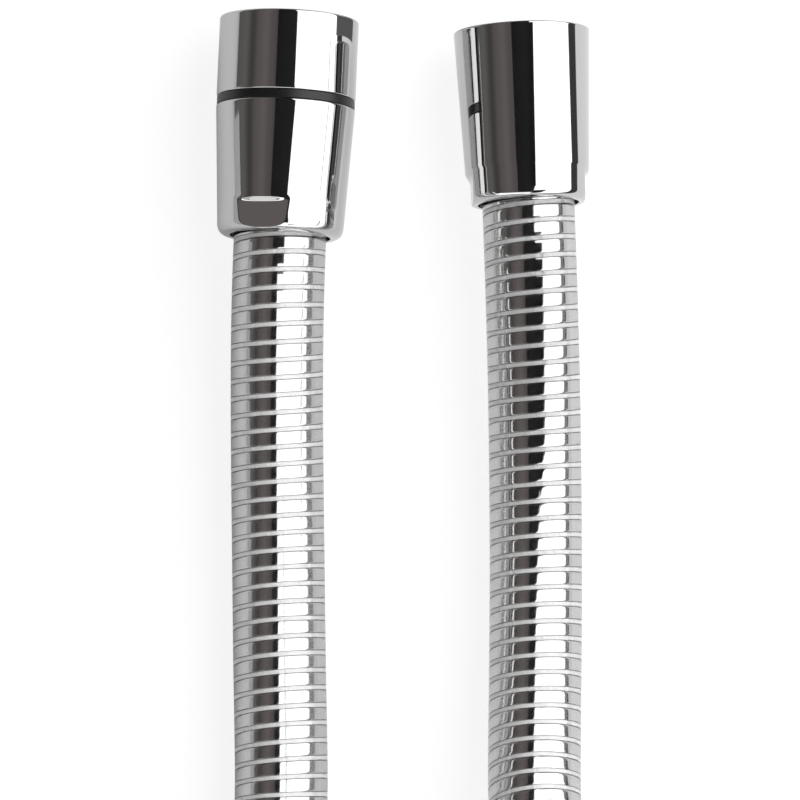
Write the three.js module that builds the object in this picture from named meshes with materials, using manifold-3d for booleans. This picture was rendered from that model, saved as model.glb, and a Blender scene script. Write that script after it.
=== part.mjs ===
// A shower hose with a swivel cone at one end and a plain cone nut at the other, lying on a flat surface.
// Millimetres, +Z up. Both mouths point along +Y; the origin is on the surface, midway between the ends.
import * as THREE from "three";
import { ConvexGeometry } from "three/addons/geometries/ConvexGeometry.js";
import { mergeVertices } from "three/addons/utils/BufferGeometryUtils.js";
import Module from "manifold-3d";

const wasm = await Module();
wasm.setup();

// Clearances
const CLEARANCE = 0.3;
const SEAL_CLEARANCE = 0.1;
const FLANGE_CLEARANCE = 0.58;
const HOSE_OPENING_CLEARANCE = 0.7;

// Hose
const HOSE_DIAMETER = 16;
const HOSE_BORE = 10.8;
const HOSE_SIDES = 12;
const HOSE_STEP = 12;

// The G1/2 union thread that both mouths take, and the flat washer in front of each flange
const THREAD_DIAMETER = 20.96;
const THREAD_DEPTH = 10;
const WASHER_THICKNESS = 2;
const WASHER_BORE = 10.4;
const WASHER_DIAMETER = 18.6;
const FLANGE_DIAMETER = THREAD_DIAMETER - 2 * FLANGE_CLEARANCE;
const FLANGE_THICKNESS = 1.8;

// Waterway and the barbed tail that it runs through
const WATERWAY = 7.2;
const TAIL_DIAMETER = 9.2;
const BARB_PITCH = 3.2;
const BARB_RISE = 0.4;
const BARB_BACK = 0.2;

// Crimped ferrule round each hose end
const FERRULE_WALL = 0.55;
const FERRULE_LIP = 0.6;
const CRIMP_DEPTH = 0.2;
const CRIMP_WIDTH = 1.6;
const CRIMP_PLACES = [0.3, 0.5, 0.7];

// Swivel end, from its mouth back
const RING_WALL = 1.57;
const RING_DIAMETER = THREAD_DIAMETER + 2 * RING_WALL;
const RING_LENGTH = 13.9;
const GLIDE_THICKNESS = 1;
const GLIDE_INSET = 0.15;
const CONE_LENGTH = 22.6;
const CONE_END_DIAMETER = 21.7;
const CONE_EDGE_RADIUS = 2;
const SPINDLE_DIAMETER = 12;
const SPINDLE_END_DEPTH = 24;
const SOCKET_WALL = 2.4;
const SOCKET_FLOOR = 1.4;
const HOUSING_FLANGE_THICKNESS = 1.4;
const HOUSING_FLANGE_DIAMETER = 20.2;
const RETAINER_THICKNESS = 0.6;
const RETAINER_WIDTH = 1.4;
const RETAINER_DEPTH = 18;
const O_RING_SECTION = 1.1;
const O_RING_DEPTHS = [20.4, 22.7];
const HOUSING_TAIL_LENGTH = 13.4;

// Plain end, from its mouth back
const NUT_WALL = 1.3;
const NUT_DIAMETER = THREAD_DIAMETER + 2 * NUT_WALL;
const NUT_END_DIAMETER = 21;
const NUT_LENGTH = 30.3;
const NUT_EDGE_RADIUS = 1.7;
const SLIDE_RING_THICKNESS = 0.8;
const SLIDE_RING_WIDTH = 1;
const NUT_COLLAR_LENGTH = 2.5;
const NUT_COLLAR_DIAMETER = 15;
const NUT_TAIL_LENGTH = 15;

// Lip at the back of each cone, and the flats for a spanner on it
const LIP_LENGTH = 1.5;
const FLAT_WIDTH = 7.6;
const FLAT_LENGTH = 5.6;
const FLAT_CENTRE_SWIVEL = -11.5;
const FLAT_CENTRE_NUT = -88;
const MOUTH_EDGE = 0.4;

// How the two ends lie: each mouth's centre, and how far its axis leans from +Y
const SWIVEL_MOUTH = [-19.6, 20];
const SWIVEL_LEAN = -2.4;
const NUT_MOUTH = [20.6, 18];
const NUT_LEAN = 2.2;

// Coil of the spare length. Each strap has its angle round the coil and the turns that it holds there:
// each turn's distance from the coil's centre, and its height over a turn that lies on the strap.
const COIL_CENTRE = [0.8, -246];
const COIL_RADIUS = 79.6;
const COIL_WIDTH = 33;
const COIL_HEIGHT = 32.6;
const COIL_EDGE = 4;
const STRAP_THICKNESS = 1.2;
const STRAP_WIDTH = 12;
const STRAPS = [
  { angle: 225, turns: [[88, 0], [71.2, 0], [80.3, 15.3]] },
  { angle: 315, turns: [[88, 0], [71.2, 6.6], [87.2, 16.6]] },
];

const ROUND = 48;
const SMALL_ROUND = 32;
const STRAP_SIDES = 24;

const radians = THREE.MathUtils.degToRad;
const hoseRadius = HOSE_DIAMETER / 2;
const threadRadius = THREAD_DIAMETER / 2;
const waterRadius = WATERWAY / 2;
const ferruleInside = hoseRadius + CLEARANCE;
const ferruleOutside = ferruleInside + FERRULE_WALL;
const coneBore = ferruleOutside + CLEARANCE;
const hoseOpening = hoseRadius + HOSE_OPENING_CLEARANCE;
const barbRadius = TAIL_DIAMETER / 2 + BARB_RISE;
const flangeBack = THREAD_DEPTH - CLEARANCE;
const flangeFront = flangeBack - FLANGE_THICKNESS;

// The hose's line at each end, from inside the fitting to where the coil takes it
const swivelRun = [
  [-20.65, -5.0, 12.05],
  [-21.2, -18.2, 12.05],
  [-21.6, -31.0, 11.7],
  [-21.7, -45.0, 10.2],
  [-21.6, -60.0, 8.8],
  [-21.4, -75.0, 8.1],
  [-21.2, -91.0, 8.0],
  [-20.9, -106.0, 8.0],
  [-20.9, -118.4, 8.0],
  [-23.3, -136.3, 8.0],
  [-30.3, -152.9, 8.0],
  [-41.2, -167.1, 8.0],
  [-49.8, -174.0, 8.0],
];
const nutRun = [
  [21.1, 4.8, 11.8],
  [21.8, -13.2, 11.8],
  [22.3, -28.0, 11.2],
  [22.7, -43.0, 9.8],
  [22.9, -58.0, 8.6],
  [23.0, -73.0, 8.1],
  [22.9, -89.0, 8.3],
  [22.7, -104.0, 9.6],
  [22.7, -118.5, 12.4],
  [25.1, -136.3, 17.0],
  [32.0, -152.8, 21.3],
  [43.0, -167.1, 23.6],
  [51.5, -174.1, 24.0],
];

const chrome = finish(0xc9cbcd, 0.08, 1);
const brass = finish(0xb9975a, 0.35, 1);
const steel = finish(0xa9abad, 0.3, 1);
const rubber = finish(0x1d1d1f, 0.7, 0);
const glidePlastic = finish(0x2b2b2d, 0.45, 0);
const whitePlastic = finish(0xe6e4dd, 0.5, 0);
const hoseSilver = finish(0xc4c6c8, 0.2, 0.8);
const strapFabric = finish(0x232325, 0.9, 0);

function finish(color, roughness, metalness) {
  return new THREE.MeshStandardMaterial({ color, roughness, metalness });
}

function named(name, geometry, material) {
  const mesh = new THREE.Mesh(geometry, material);
  mesh.name = name;
  return mesh;
}

// A closed outline of [radius, depth from the mouth] turned about the fitting's axis, the mesh's own +Y.
function turned(outline, segments) {
  const points = outline.map(([radius, depth]) => new THREE.Vector2(radius, -depth));
  if (THREE.ShapeUtils.isClockWise(points)) points.reverse();
  points.push(points[0].clone());
  return new THREE.LatheGeometry(points, segments);
}

function toSolid(geometry) {
  const bare = geometry.clone();
  bare.deleteAttribute("normal");
  bare.deleteAttribute("uv");
  const merged = mergeVertices(bare, 1e-4);
  return new wasm.Manifold(new wasm.Mesh({
    numProp: 3,
    vertProperties: merged.attributes.position.array,
    triVerts: new Uint32Array(merged.index.array),
  }));
}

function toGeometry(solid) {
  const mesh = solid.getMesh();
  const geometry = new THREE.BufferGeometry();
  geometry.setAttribute("position", new THREE.BufferAttribute(mesh.vertProperties, 3));
  geometry.setIndex(new THREE.BufferAttribute(mesh.triVerts, 1));
  geometry.computeVertexNormals();
  return geometry;
}

function cut(geometry, ...tools) {
  return toGeometry(tools.reduce((solid, tool) => solid.subtract(toSolid(tool)), toSolid(geometry)));
}

// A quarter round on an outline's outer corner, from the side to the end face.
function backEdge(radius, depth, round, steps) {
  const points = [];
  for (let i = 0; i <= steps; i++) {
    const turn = (i / steps) * (Math.PI / 2);
    points.push([radius - round * (1 - Math.cos(turn)), depth - round * (1 - Math.sin(turn))]);
  }
  return points;
}

// The same from the front face to the side.
function frontEdge(radius, depth, round, steps) {
  return backEdge(radius, 0, round, steps).reverse().map(([r, d]) => [r, depth - d]);
}

// Two opposite flats near the end of a cone, each cut as wide as a spanner's jaw leaves it.
function spannerFlats(endRadius, endDepth, centre) {
  const reach = Math.sqrt(endRadius ** 2 - (FLAT_WIDTH / 2) ** 2);
  const thickness = endRadius;
  return [0, 180].map((side) => {
    const box = new THREE.BoxGeometry(4 * endRadius, FLAT_LENGTH * 2, thickness);
    box.translate(0, -endDepth, reach + thickness / 2);
    return box.rotateY(radians(centre + side));
  });
}

// The steps of a barbed tail: each barb rises to its peak and drops back to the stem.
function barbs(stemRadius, start, end) {
  const points = [];
  for (let front = start + BARB_PITCH / 2; front + BARB_PITCH < end; front += BARB_PITCH) {
    points.push([stemRadius, front], [barbRadius, front + BARB_BACK], [stemRadius, front + BARB_PITCH / 2]);
  }
  return points;
}

// A thin sleeve whose front lip hooks behind the tail's collar, with grooves where it was crimped.
function ferrule(front, back) {
  const outline = [[barbRadius + CLEARANCE, front], [ferruleOutside, front]];
  for (const share of CRIMP_PLACES) {
    const middle = front + (back - front) * share;
    outline.push([ferruleOutside, middle - CRIMP_WIDTH / 2]);
    outline.push([ferruleOutside - CRIMP_DEPTH, middle]);
    outline.push([ferruleOutside, middle + CRIMP_WIDTH / 2]);
  }
  outline.push([ferruleOutside, back], [ferruleInside, back]);
  outline.push([ferruleInside, front + FERRULE_LIP]);
  outline.push([barbRadius + CLEARANCE, front + FERRULE_LIP]);
  return turned(outline, SMALL_ROUND);
}

function washer() {
  const back = flangeFront - CLEARANCE;
  const front = back - WASHER_THICKNESS;
  return turned([
    [WASHER_BORE / 2, front],
    [WASHER_DIAMETER / 2, front],
    [WASHER_DIAMETER / 2, back],
    [WASHER_BORE / 2, back],
  ], SMALL_ROUND);
}

// The fitting's own frame: +Y out of the mouth, which is its origin.
function placed([x, y], radius, lean) {
  const group = new THREE.Group();
  group.position.set(x, y, radius);
  group.rotation.z = radians(lean);
  return group;
}

const glideRadius = RING_DIAMETER / 2 - GLIDE_INSET;
const glideFront = RING_LENGTH + CLEARANCE;
const coneFront = glideFront + GLIDE_THICKNESS + CLEARANCE;
const coneEnd = coneFront + CONE_LENGTH;
const socketRadius = SPINDLE_DIAMETER / 2 + CLEARANCE;
const socketOutside = socketRadius + SOCKET_WALL;
const swivelConeBore = Math.max(coneBore, socketOutside + CLEARANCE);
const socketEnd = SPINDLE_END_DEPTH + CLEARANCE;
const housingEnd = socketEnd + SOCKET_FLOOR;
const housingFront = coneFront + CLEARANCE;
const housingFlangeBack = housingFront + HOUSING_FLANGE_THICKNESS;
const housingFlangeRadius = HOUSING_FLANGE_DIAMETER / 2;
const swivelFerruleFront = housingEnd + CLEARANCE;
const swivelHoseEnd = swivelFerruleFront + FERRULE_LIP + CLEARANCE;

function swivelRing() {
  const outer = RING_DIAMETER / 2;
  return turned([
    [threadRadius, MOUTH_EDGE],
    [threadRadius + MOUTH_EDGE, 0],
    ...frontEdge(outer, 0, MOUTH_EDGE, 2),
    ...backEdge(outer, RING_LENGTH, MOUTH_EDGE, 2),
    [SPINDLE_DIAMETER / 2 + CLEARANCE, RING_LENGTH],
    [SPINDLE_DIAMETER / 2 + CLEARANCE, THREAD_DEPTH],
    [threadRadius, THREAD_DEPTH],
  ], ROUND);
}

function swivelSpindle() {
  const neck = SPINDLE_DIAMETER / 2;
  const sealFloor = neck - O_RING_SECTION + SEAL_CLEARANCE;
  const retainerFloor = neck - RETAINER_WIDTH / 2;
  const retainerHalf = RETAINER_THICKNESS / 2 + CLEARANCE;
  const sealHalf = O_RING_SECTION / 2 + SEAL_CLEARANCE;
  const grooves = O_RING_DEPTHS.flatMap((depth) => [
    [neck, depth - sealHalf],
    [sealFloor, depth - sealHalf],
    [sealFloor, depth + sealHalf],
    [neck, depth + sealHalf],
  ]);
  return turned([
    [waterRadius, flangeFront],
    [FLANGE_DIAMETER / 2, flangeFront],
    [FLANGE_DIAMETER / 2, flangeBack],
    [neck, flangeBack],
    [neck, RETAINER_DEPTH - retainerHalf],
    [retainerFloor, RETAINER_DEPTH - retainerHalf],
    [retainerFloor, RETAINER_DEPTH + retainerHalf],
    [neck, RETAINER_DEPTH + retainerHalf],
    ...grooves,
    [neck, SPINDLE_END_DEPTH],
    [waterRadius, SPINDLE_END_DEPTH],
  ], SMALL_ROUND);
}

function spindleORing(depth) {
  const section = O_RING_SECTION / 2;
  const middle = SPINDLE_DIAMETER / 2 - O_RING_SECTION + 2 * SEAL_CLEARANCE + section;
  const outline = [];
  for (let i = 0; i < 8; i++) {
    const turn = (i / 8) * 2 * Math.PI;
    outline.push([middle + section * Math.cos(turn), depth + section * Math.sin(turn)]);
  }
  return turned(outline, SMALL_ROUND);
}

function swivelRetainer() {
  const inner = SPINDLE_DIAMETER / 2 - RETAINER_WIDTH / 2 + CLEARANCE;
  return turned([
    [inner, RETAINER_DEPTH - RETAINER_THICKNESS / 2],
    [inner + RETAINER_WIDTH, RETAINER_DEPTH - RETAINER_THICKNESS / 2],
    [inner + RETAINER_WIDTH, RETAINER_DEPTH + RETAINER_THICKNESS / 2],
    [inner, RETAINER_DEPTH + RETAINER_THICKNESS / 2],
  ], SMALL_ROUND);
}

function glideRing() {
  return turned([
    [SPINDLE_DIAMETER / 2 + CLEARANCE, glideFront],
    [glideRadius, glideFront],
    [glideRadius, glideFront + GLIDE_THICKNESS],
    [SPINDLE_DIAMETER / 2 + CLEARANCE, glideFront + GLIDE_THICKNESS],
  ], ROUND);
}

function swivelCone() {
  const lipFront = coneEnd - LIP_LENGTH;
  const body = turned([
    [housingFlangeRadius + CLEARANCE, coneFront],
    ...frontEdge(RING_DIAMETER / 2, coneFront, MOUTH_EDGE, 2),
    ...backEdge(CONE_END_DIAMETER / 2, coneEnd, CONE_EDGE_RADIUS, 5),
    [hoseOpening, coneEnd],
    [hoseOpening, lipFront],
    [swivelConeBore, lipFront],
    [swivelConeBore, housingFlangeBack + CLEARANCE],
    [housingFlangeRadius + CLEARANCE, housingFlangeBack + CLEARANCE],
  ], ROUND);
  return cut(body, ...spannerFlats(CONE_END_DIAMETER / 2, coneEnd, FLAT_CENTRE_SWIVEL));
}

function swivelHousing() {
  const groove = SPINDLE_DIAMETER / 2 + RETAINER_WIDTH / 2 + 2 * CLEARANCE;
  const grooveHalf = RETAINER_THICKNESS / 2 + CLEARANCE;
  const stem = TAIL_DIAMETER / 2;
  const tailEnd = swivelHoseEnd + HOUSING_TAIL_LENGTH;
  return turned([
    [socketRadius, housingFront],
    [housingFlangeRadius, housingFront],
    [housingFlangeRadius, housingFlangeBack],
    [socketOutside, housingFlangeBack],
    [socketOutside, housingEnd],
    [stem, housingEnd],
    ...barbs(stem, swivelHoseEnd, tailEnd),
    [stem, tailEnd],
    [waterRadius, tailEnd],
    [waterRadius, socketEnd],
    [socketRadius, socketEnd],
    [socketRadius, RETAINER_DEPTH + grooveHalf],
    [groove, RETAINER_DEPTH + grooveHalf],
    [groove, RETAINER_DEPTH - grooveHalf],
    [socketRadius, RETAINER_DEPTH - grooveHalf],
  ], SMALL_ROUND);
}

const slideFront = flangeBack + CLEARANCE;
const nutShoulder = slideFront + SLIDE_RING_THICKNESS + CLEARANCE;
const nutLipFront = NUT_LENGTH - LIP_LENGTH;
const nutCollarEnd = nutShoulder + NUT_COLLAR_LENGTH;
const nutFerruleFront = nutCollarEnd + CLEARANCE;
const nutHoseEnd = nutFerruleFront + FERRULE_LIP + CLEARANCE;

function coneNut() {
  const body = turned([
    [threadRadius, MOUTH_EDGE],
    [threadRadius + MOUTH_EDGE, 0],
    ...frontEdge(NUT_DIAMETER / 2, 0, MOUTH_EDGE, 2),
    ...backEdge(NUT_END_DIAMETER / 2, NUT_LENGTH, NUT_EDGE_RADIUS, 5),
    [hoseOpening, NUT_LENGTH],
    [hoseOpening, nutLipFront],
    [coneBore, nutLipFront],
    [coneBore, nutShoulder],
    [threadRadius, nutShoulder],
  ], ROUND);
  return cut(body, ...spannerFlats(NUT_END_DIAMETER / 2, NUT_LENGTH, FLAT_CENTRE_NUT));
}

function nutSlideRing() {
  const outer = threadRadius - CLEARANCE;
  return turned([
    [outer - SLIDE_RING_WIDTH, slideFront],
    [outer, slideFront],
    [outer, slideFront + SLIDE_RING_THICKNESS],
    [outer - SLIDE_RING_WIDTH, slideFront + SLIDE_RING_THICKNESS],
  ], SMALL_ROUND);
}

function nutTail() {
  const stem = TAIL_DIAMETER / 2;
  const tailEnd = nutHoseEnd + NUT_TAIL_LENGTH;
  return turned([
    [waterRadius, flangeFront],
    [FLANGE_DIAMETER / 2, flangeFront],
    [FLANGE_DIAMETER / 2, flangeBack],
    [NUT_COLLAR_DIAMETER / 2, flangeBack],
    [NUT_COLLAR_DIAMETER / 2, nutCollarEnd],
    [stem, nutCollarEnd],
    ...barbs(stem, nutHoseEnd, tailEnd),
    [stem, tailEnd],
    [waterRadius, tailEnd],
  ], SMALL_ROUND);
}

// A plain tube on the hose's line, bored for the tail and cut where the coil begins.
function hoseRun(points, frame, hoseEnd, tailLength) {
  const curve = new THREE.CatmullRomCurve3(points.map((p) => new THREE.Vector3(...p)), false, "centripetal");
  const section = new THREE.Shape();
  for (let i = 0; i < HOSE_SIDES; i++) {
    const turn = (i / HOSE_SIDES) * 2 * Math.PI;
    section[i ? "lineTo" : "moveTo"](hoseRadius * Math.cos(turn), hoseRadius * Math.sin(turn));
  }
  const tube = new THREE.ExtrudeGeometry(section, {
    steps: Math.round(curve.getLength() / HOSE_STEP),
    extrudePath: curve,
    curveSegments: HOSE_SIDES,
  });
  const boreLength = hoseRadius + tailLength + CLEARANCE;
  const bore = new THREE.CylinderGeometry(HOSE_BORE / 2, HOSE_BORE / 2, boreLength, SMALL_ROUND);
  bore.translate(0, hoseRadius - hoseEnd - boreLength / 2, 0);
  const ahead = new THREE.CylinderGeometry(HOSE_DIAMETER, HOSE_DIAMETER, HOSE_DIAMETER, SMALL_ROUND);
  ahead.translate(0, hoseRadius - hoseEnd, 0);
  frame.updateMatrixWorld();
  for (const tool of [bore, ahead]) tool.applyMatrix4(frame.matrixWorld);
  const reach = COIL_RADIUS + COIL_WIDTH / 2 + CLEARANCE;
  const coilSpace = new THREE.CylinderGeometry(reach, reach, 4 * COIL_HEIGHT, 2 * ROUND);
  coilSpace.rotateX(Math.PI / 2);
  coilSpace.translate(COIL_CENTRE[0], COIL_CENTRE[1], 0);
  return cut(tube, bore, ahead, coilSpace);
}

// What a band pulled tight round some turns of the coil encloses, for turns of this radius.
function roundTurns(turns, radius, width) {
  const points = [];
  for (const [reach, rise] of turns) {
    for (let i = 0; i < STRAP_SIDES; i++) {
      const turn = (i / STRAP_SIDES) * 2 * Math.PI;
      const height = STRAP_THICKNESS + CLEARANCE + hoseRadius + rise + radius * Math.sin(turn);
      for (const side of [-width / 2, width / 2]) {
        points.push(new THREE.Vector3(reach + radius * Math.cos(turn), side, height));
      }
    }
  }
  return new ConvexGeometry(points);
}

function strapLoop({ turns }) {
  const inside = hoseRadius + CLEARANCE;
  return cut(
    roundTurns(turns, inside + STRAP_THICKNESS, STRAP_WIDTH),
    roundTurns(turns, inside, 2 * STRAP_WIDTH),
  );
}

// The outer shape of the coiled turns, drawn in under each strap to the turns that the strap holds.
function hoseCoil() {
  const inside = COIL_RADIUS - COIL_WIDTH / 2;
  const outside = COIL_RADIUS + COIL_WIDTH / 2;
  const ring = turned([
    [inside, 0],
    [outside, 0],
    [outside, -COIL_HEIGHT + COIL_EDGE],
    [outside - COIL_EDGE, -COIL_HEIGHT],
    [inside + COIL_EDGE, -COIL_HEIGHT],
    [inside, -COIL_HEIGHT + COIL_EDGE],
  ], ROUND);
  ring.rotateX(Math.PI / 2);
  const spare = STRAPS.map(({ angle, turns }) => {
    const slot = new THREE.BoxGeometry(2 * COIL_WIDTH, STRAP_WIDTH + 2 * CLEARANCE, 4 * COIL_HEIGHT);
    slot.translate(COIL_RADIUS, 0, 0);
    return cut(slot, roundTurns(turns, hoseRadius, 2 * STRAP_WIDTH)).rotateZ(radians(angle));
  });
  return cut(ring, ...spare);
}

const swivelEnd = placed(SWIVEL_MOUTH, RING_DIAMETER / 2, SWIVEL_LEAN);
swivelEnd.add(
  named("swivel_ring", swivelRing(), chrome),
  named("swivel_washer", washer(), rubber),
  named("swivel_spindle", swivelSpindle(), brass),
  named("spindle_o_ring_1", spindleORing(O_RING_DEPTHS[0]), rubber),
  named("spindle_o_ring_2", spindleORing(O_RING_DEPTHS[1]), rubber),
  named("swivel_retaining_ring", swivelRetainer(), steel),
  named("swivel_glide_ring", glideRing(), glidePlastic),
  named("swivel_cone", swivelCone(), chrome),
  named("swivel_tail", swivelHousing(), brass),
  named("swivel_ferrule", ferrule(swivelFerruleFront, coneEnd - LIP_LENGTH - CLEARANCE), steel),
);

const nutEnd = placed(NUT_MOUTH, NUT_DIAMETER / 2, NUT_LEAN);
nutEnd.add(
  named("cone_nut", coneNut(), chrome),
  named("nut_washer", washer(), rubber),
  named("nut_tail", nutTail(), brass),
  named("nut_slide_ring", nutSlideRing(), whitePlastic),
  named("nut_ferrule", ferrule(nutFerruleFront, nutLipFront - CLEARANCE), steel),
);

const coil = new THREE.Group();
coil.position.set(COIL_CENTRE[0], COIL_CENTRE[1], 0);
coil.add(named("hose_coil", hoseCoil(), hoseSilver));
STRAPS.forEach((held, i) => {
  const strap = named(`coil_strap_${i + 1}`, strapLoop(held), strapFabric);
  strap.rotation.z = radians(held.angle);
  coil.add(strap);
});

const showerHose = new THREE.Group();
showerHose.add(
  swivelEnd,
  nutEnd,
  named("hose_run_swivel", hoseRun(swivelRun, swivelEnd, swivelHoseEnd, HOUSING_TAIL_LENGTH), hoseSilver),
  named("hose_run_nut", hoseRun(nutRun, nutEnd, nutHoseEnd, NUT_TAIL_LENGTH), hoseSilver),
  coil,
);

export default showerHose;
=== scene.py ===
"""A shower hose: a swivel cone at one end, a plain cone nut at the other, and a clear-sheathed hose with a
silver spiral between them, its spare length coiled and strapped."""
import math

import bmesh
import bpy
from bpy.props import FloatProperty, FloatVectorProperty, IntProperty, PointerProperty
from mathutils import Matrix, Vector


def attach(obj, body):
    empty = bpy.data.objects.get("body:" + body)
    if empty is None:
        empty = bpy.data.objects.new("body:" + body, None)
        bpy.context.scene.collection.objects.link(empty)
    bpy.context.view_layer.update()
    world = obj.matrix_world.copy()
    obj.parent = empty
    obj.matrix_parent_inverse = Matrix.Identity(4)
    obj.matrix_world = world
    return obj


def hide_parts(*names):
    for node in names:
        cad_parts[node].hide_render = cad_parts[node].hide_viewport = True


bl_info = {
    "name": "Shower hose",
    "version": (1, 0, 0),
    "blender": (4, 5, 0),
    "location": "3D View > Sidebar > Shower hose",
    "description": "Builds a shower hose with its two chromed fittings, its coil and a studio round it",
    "category": "Add Mesh",
}

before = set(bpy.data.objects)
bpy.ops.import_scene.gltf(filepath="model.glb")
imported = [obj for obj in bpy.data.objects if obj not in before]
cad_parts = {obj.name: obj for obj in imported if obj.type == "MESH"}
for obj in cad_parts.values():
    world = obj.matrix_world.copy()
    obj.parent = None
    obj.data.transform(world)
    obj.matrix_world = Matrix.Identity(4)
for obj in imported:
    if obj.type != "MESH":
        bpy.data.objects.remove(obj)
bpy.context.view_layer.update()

MM = 0.001

# The two fittings, millimetres. Depths are measured back from each mouth.
CLEARANCE = 0.3
THREAD_RADIUS = 10.48
THREAD_DEPTH = 10.0
THREAD_PITCH = 1.814
THREAD_HEIGHT = 1.16
# Points this near the thread's radius belong to the threaded bore.
ON_THREAD = 0.02
WATER_RADIUS = 3.6
FLANGE_RADIUS = 9.9
FLANGE_FRONT, FLANGE_BACK = 7.9, 9.7
WASHER_FRONT, WASHER_BACK = 5.6, 7.6
WASHER_BORE, WASHER_RADIUS = 5.2, 9.3
TAIL_RADIUS = 4.6
BARB_PITCH, BARB_RISE = 3.2, 0.4
FERRULE_INSIDE, FERRULE_OUTSIDE, FERRULE_LIP = 8.3, 8.85, 0.6
CONE_BORE = 9.15
LIP_LENGTH = 1.5
HOSE_OPENING = 8.7

RING_RADIUS, RING_LENGTH = 12.05, 13.9
GLIDE_FRONT, GLIDE_BACK, GLIDE_RADIUS = 13.95, 15.45, 11.95
CONE_FRONT, CONE_BACK, CONE_BACK_RADIUS, CONE_EDGE = 15.5, 38.1, 10.85, 2.0
SPINDLE_RADIUS, SPINDLE_BACK = 6.0, 24.0
RETAINER_DEPTH, RETAINER_THICKNESS, RETAINER_WIDTH = 18.0, 0.6, 1.4
O_RING_DEPTHS, O_RING_SECTION = (20.4, 22.7), 1.1
SOCKET_RADIUS, SOCKET_OUTSIDE = 6.3, 8.7
HOUSING_FRONT, HOUSING_FLANGE_BACK, HOUSING_FLANGE_RADIUS = 15.8, 17.2, 10.1
SOCKET_BACK, HOUSING_BACK = 24.3, 25.7
SWIVEL_HOSE_END, SWIVEL_TAIL_LENGTH = 26.9, 13.4

NUT_RADIUS, NUT_BACK_RADIUS, NUT_LENGTH, NUT_EDGE = 11.78, 10.5, 30.3, 1.7
SLIDE_FRONT, SLIDE_BACK, SLIDE_WIDTH = 10.0, 10.8, 1.0
NUT_SHOULDER, COLLAR_RADIUS, COLLAR_BACK = 11.1, 7.5, 13.6
NUT_HOSE_END, NUT_TAIL_LENGTH = 14.8, 15.0
MOUTH_RADIUS = THREAD_RADIUS + 0.4
FLANGE_CORNERS = (
    (WATER_RADIUS, FLANGE_FRONT, 0.25), (FLANGE_RADIUS, FLANGE_FRONT, 0.2), (FLANGE_RADIUS, FLANGE_BACK))

# Spanner flats: width, and for each cone the angle of one flat, its length and the length of its ledge.
FLAT_WIDTH = 8.0
SWIVEL_FLAT, NUT_FLAT = (-17.0, 5.5, 0.8), (-88.0, 5.6, 1.9)

SWIVEL_MOUTH, SWIVEL_LEAN = (-19.6, 20.0), -2.4
NUT_MOUTH, NUT_LEAN = (20.6, 18.0), 2.2

# The hose's route, metres: down from the swivel end, round the coil, and back up to the nut.
SWIVEL_RUN = (
    (-0.02065, -0.0050, 0.01205), (-0.0212, -0.0182, 0.01205), (-0.0216, -0.0310, 0.0117),
    (-0.0217, -0.0450, 0.0102), (-0.0216, -0.0600, 0.0088), (-0.0214, -0.0750, 0.0081),
    (-0.0212, -0.0910, 0.0080), (-0.0209, -0.1060, 0.0080), (-0.0209, -0.1184, 0.0080),
    (-0.0233, -0.1363, 0.0080), (-0.0303, -0.1529, 0.0080), (-0.0412, -0.1671, 0.0080),
)
NUT_RUN = (
    (0.0211, 0.0048, 0.0118), (0.0218, -0.0132, 0.0118), (0.0223, -0.0280, 0.0112),
    (0.0227, -0.0430, 0.0098), (0.0229, -0.0580, 0.0086), (0.0230, -0.0730, 0.0081),
    (0.0229, -0.0890, 0.0083), (0.0227, -0.1040, 0.0096), (0.0227, -0.1185, 0.0124),
    (0.0251, -0.1363, 0.0170), (0.0320, -0.1528, 0.0213), (0.0430, -0.1671, 0.0236),
)
COIL_CENTRE = (0.0008, -0.246)
COIL_OUTER, COIL_INNER, COIL_MIDDLE = 0.088, 0.0712, 0.080
COIL_START, COIL_END, COIL_POINTS = 125.1, 1134.8, 42
FLOOR_LEVEL, UPPER_LEVEL = 0.008, 0.0246
# How far the coil's upper turn sinks where it lies between two lower ones, and how far its end sinks.
COIL_SINK, COIL_END_SINK = 0.0016, 0.0006
STRAP_ANGLES = (225.0, 315.0)
STRAP_THICKNESS, STRAP_WIDTH, STRAP_EDGE, STRAP_SLACK = 0.0012, 0.012, 0.0003, 0.0003
# Stations round a strap, and how many more its free end laps over.
STRAP_STATIONS, STRAP_LAP = 160, 34

# The share that each finer layer of noise keeps. Blender's wave bands repeat WAVE_UNIT times in math.tau units.
NOISE_ROUGHNESS, WAVE_UNIT = 0.55, 20
# Rings of tool marks 0.79 mm apart, coarser than real ones so that they show.
TOOL_MARK_SPACING = 0.000786

# The studio, metres. The board ends on the right where its reflections in the chrome say.
FLOOR_REACH, BOARD_EDGE, BOARD_BLUR = 3.0, 0.092, 0.006
# The flag over the object, where the lens looks through: its height, how far it leans left and right of the
# middle in degrees, and how far it reaches along the hose.
FLAG_HEIGHT, FLAG_ANGLES, FLAG_REACH, FLAG_GREY = 0.85, (-17.8, 12.8), (-0.8, 1.0), "#2C2C2C"
# Cards low over the fittings and hoses, whether each is lit, and its outline from above: flags widen the black
# streak of the nut and of the first of its hose, and lit strips carry the softbox's light nearly to the middle of
# both hoses.
LOW_CARD_HEIGHT = 0.0315
LOW_CARDS = (
    ("flag_low", False, ((0.0245, -0.0175), (0.0323, -0.0175), (0.0323, -0.054), (0.0245, -0.07))),
    ("flag_over_nut", False, ((0.0228, -0.0105), (0.0252, -0.0105), (0.0252, 0.0195), (0.0228, 0.0195))),
    ("strip_over_swivel_hose", True, ((-0.0219, -0.0235), (-0.017, -0.0235), (-0.0162, -0.13), (-0.0218, -0.13))),
    ("strip_over_nut_hose", True, ((0.026, -0.062), (0.0272, -0.062), (0.0272, -0.13), (0.0217, -0.13),
                                   (0.0218, -0.104), (0.0228, -0.083))),
)
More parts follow.
